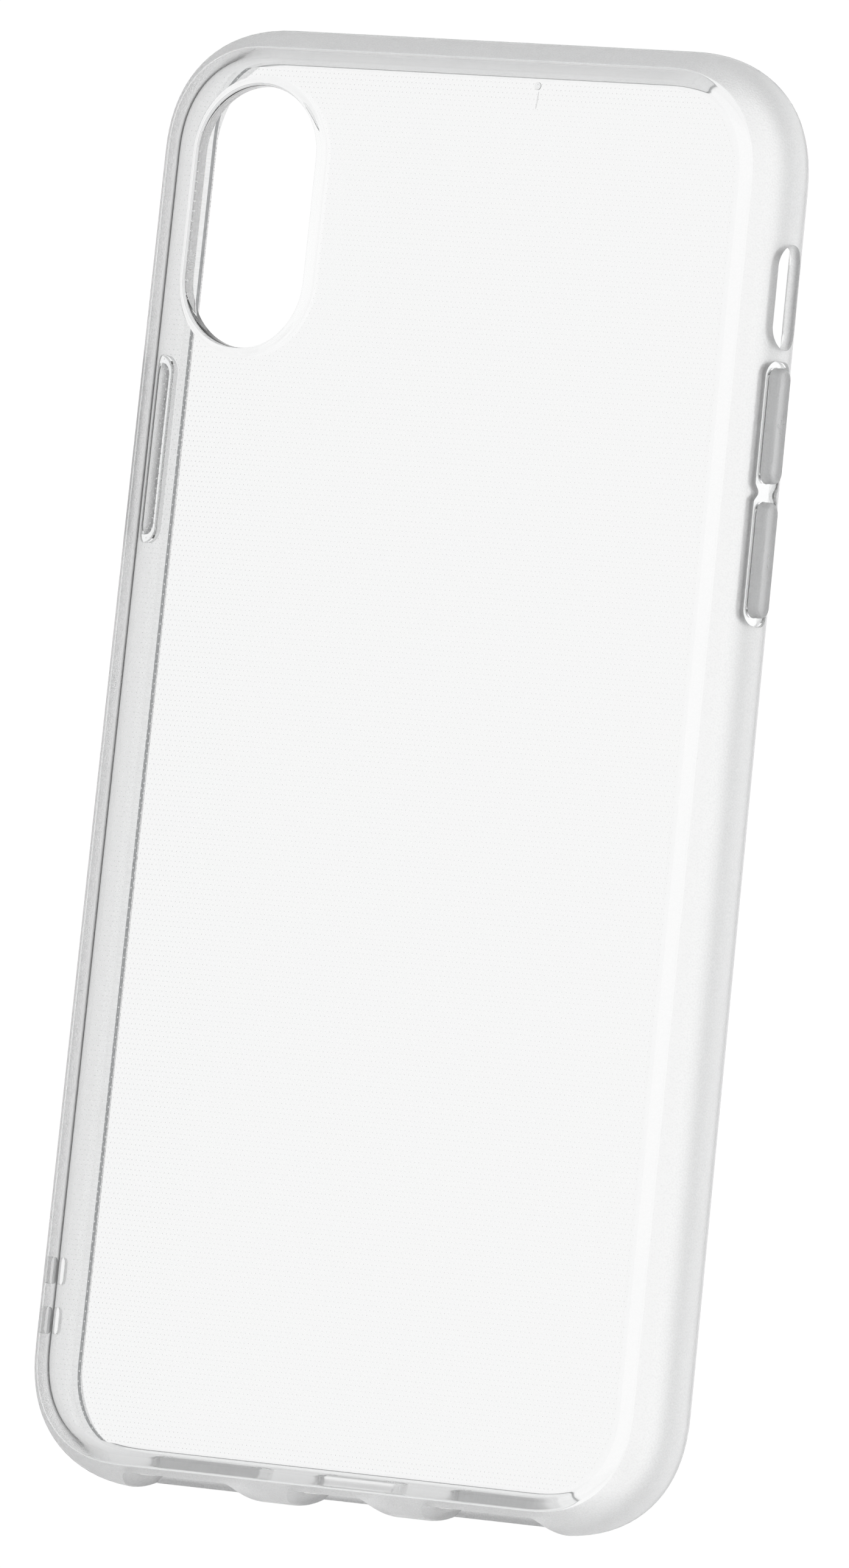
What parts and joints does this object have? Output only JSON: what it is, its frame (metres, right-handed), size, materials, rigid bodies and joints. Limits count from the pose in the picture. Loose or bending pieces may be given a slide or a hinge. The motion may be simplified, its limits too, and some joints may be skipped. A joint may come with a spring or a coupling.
{
  "type": "phone case",
  "caption": "Clear soft moulded phone case with frosted bumper walls, screen lip, camera opening, pressable side buttons and end openings.",
  "frame": {"origin": "centre of the footprint, on the plane that the front lip rests on", "axes": "+Z from the open front to the back panel, +Y towards the camera end, +X towards the volume-button side"},
  "size_m": [0.075, 0.1466, 0.0099],
  "materials": {
    "clear_panel": "clear glossy TPU, micro-dotted inside",
    "frosted_wall": "frosted translucent TPU",
    "clear_rim": "clear glossy TPU",
    "clear_web": "clear glossy TPU",
    "button_cap": "fine matte grey TPU"
  },
  "bodies": {
    "case_body": {"back_panel": "clear_panel", "bumper_frame": "frosted_wall", "camera_rim": "clear_rim", "power_button_web": "clear_web", "volume_button_web": "clear_web"},
    "power_key": {"power_button": "button_cap"},
    "volume_up_key": {"volume_up_button": "button_cap"},
    "volume_down_key": {"volume_down_button": "button_cap"}
  },
  "joints": [
    {"name": "power_press", "type": "slide", "parent": "case_body", "child": "power_key", "axis": [1, 0, 0], "range_m": [0, 0.0004], "stiffness_N_per_m": 1500},
    {"name": "volume_up_press", "type": "slide", "parent": "case_body", "child": "volume_up_key", "axis": [-1, 0, 0], "range_m": [0, 0.0004], "stiffness_N_per_m": 1500},
    {"name": "volume_down_press", "type": "slide", "parent": "case_body", "child": "volume_down_key", "axis": [-1, 0, 0], "range_m": [0, 0.0004], "stiffness_N_per_m": 1500}
  ]
}
